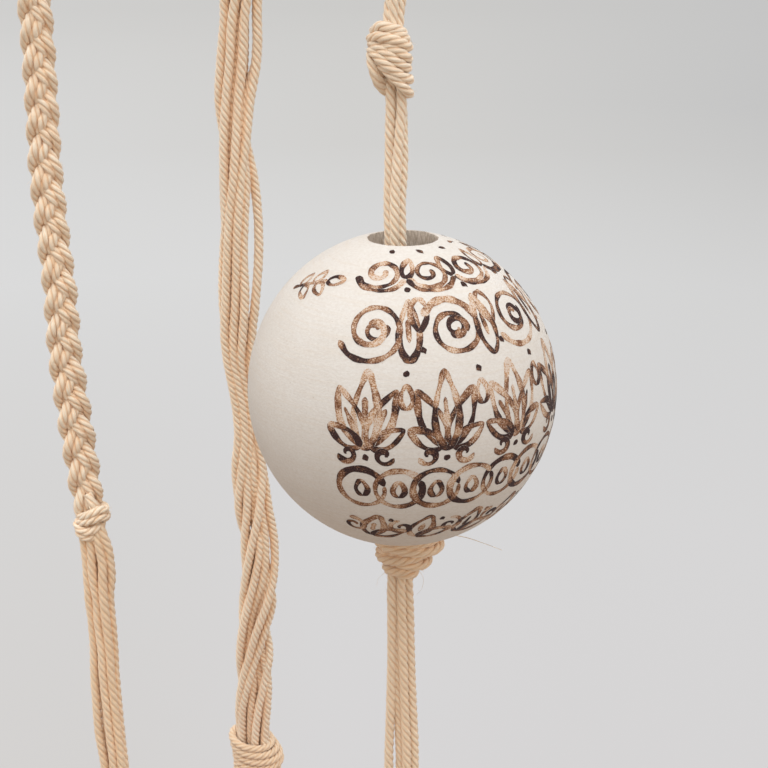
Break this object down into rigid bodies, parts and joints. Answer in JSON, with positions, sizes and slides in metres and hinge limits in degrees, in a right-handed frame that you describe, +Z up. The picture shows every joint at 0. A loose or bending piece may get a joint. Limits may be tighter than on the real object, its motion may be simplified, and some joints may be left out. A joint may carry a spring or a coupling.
{
  "type": "hanging macrame planter",
  "caption": "Hanging plant holder of knotted cotton cord with a wooden ring, a spreader hoop, a turned wooden ball on one arm, a netted cradle with a clay pot, and a tassel.",
  "frame": {"origin": "top of the ring's hole, where a hook carries it", "axes": "+Z up along the planter, +X to the right of someone facing its front, the front is -Y"},
  "size_m": [0.1654, 0.144, 0.8901],
  "materials": {
    "cotton_cord": "twisted cream cotton of several plies, matt and slightly fuzzy",
    "ring_wood": "oiled beech, fine straight grain",
    "whitewashed_wood": "turned pale wood under a thin white wash, brown ink ornament",
    "terracotta": "unglazed fired clay, fine grit and faint turning rings"
  },
  "bodies": {
    "ring": {"hanging_ring": "ring_wood"},
    "hanger": {"crown_loops": "cotton_cord", "crown_wrap": "cotton_cord", "crown_left_strands": "cotton_cord", "crown_back_strands": "cotton_cord", "crown_right_strands": "cotton_cord", "spreader_hoop": "ring_wood", "left_hitches": "cotton_cord", "back_hitches": "cotton_cord", "right_hitches": "cotton_cord", "left_upper_strands": "cotton_cord", "left_braid": "cotton_cord", "left_knot": "cotton_cord", "left_lower_strands": "cotton_cord", "back_strands": "cotton_cord", "back_wrap": "cotton_cord", "right_upper_strands": "cotton_cord", "upper_ball_knot": "cotton_cord", "ball_strands": "cotton_cord", "lower_ball_knot": "cotton_cord", "right_lower_strands": "cotton_cord", "left_cradle_knot": "cotton_cord", "right_cradle_knot": "cotton_cord", "left_net_strands": "cotton_cord", "back_net_strands": "cotton_cord", "right_net_strands": "cotton_cord", "back_right_side_knot": "cotton_cord", "left_back_side_knot": "cotton_cord", "front_side_knot": "cotton_cord", "under_pot_strands": "cotton_cord", "base_wrap": "cotton_cord"},
    "ball": {"wooden_ball": "whitewashed_wood"},
    "pot": {"pot": "terracotta"},
    "tassel": {"tassel_strands": "cotton_cord"}
  },
  "joints": [
    {"name": "hanger_swing", "type": "hinge", "parent": "ring", "child": "hanger", "pos_m": [0, 0, -0.055], "axis": [0.9063, -0.4226, 0], "range_deg": [-15, 15]},
    {"name": "ball_slide", "type": "slide", "parent": "hanger", "child": "ball", "axis": [0, 0, 1], "range_m": [0, 0.039]},
    {"name": "pot_lift", "type": "slide", "parent": "hanger", "child": "pot", "axis": [0, 0, 1], "range_m": [0, 0.1]},
    {"name": "tassel_swing", "type": "hinge", "parent": "hanger", "child": "tassel", "pos_m": [0, 0, -0.734], "axis": [1, 0, 0], "range_deg": [-20, 20]}
  ]
}
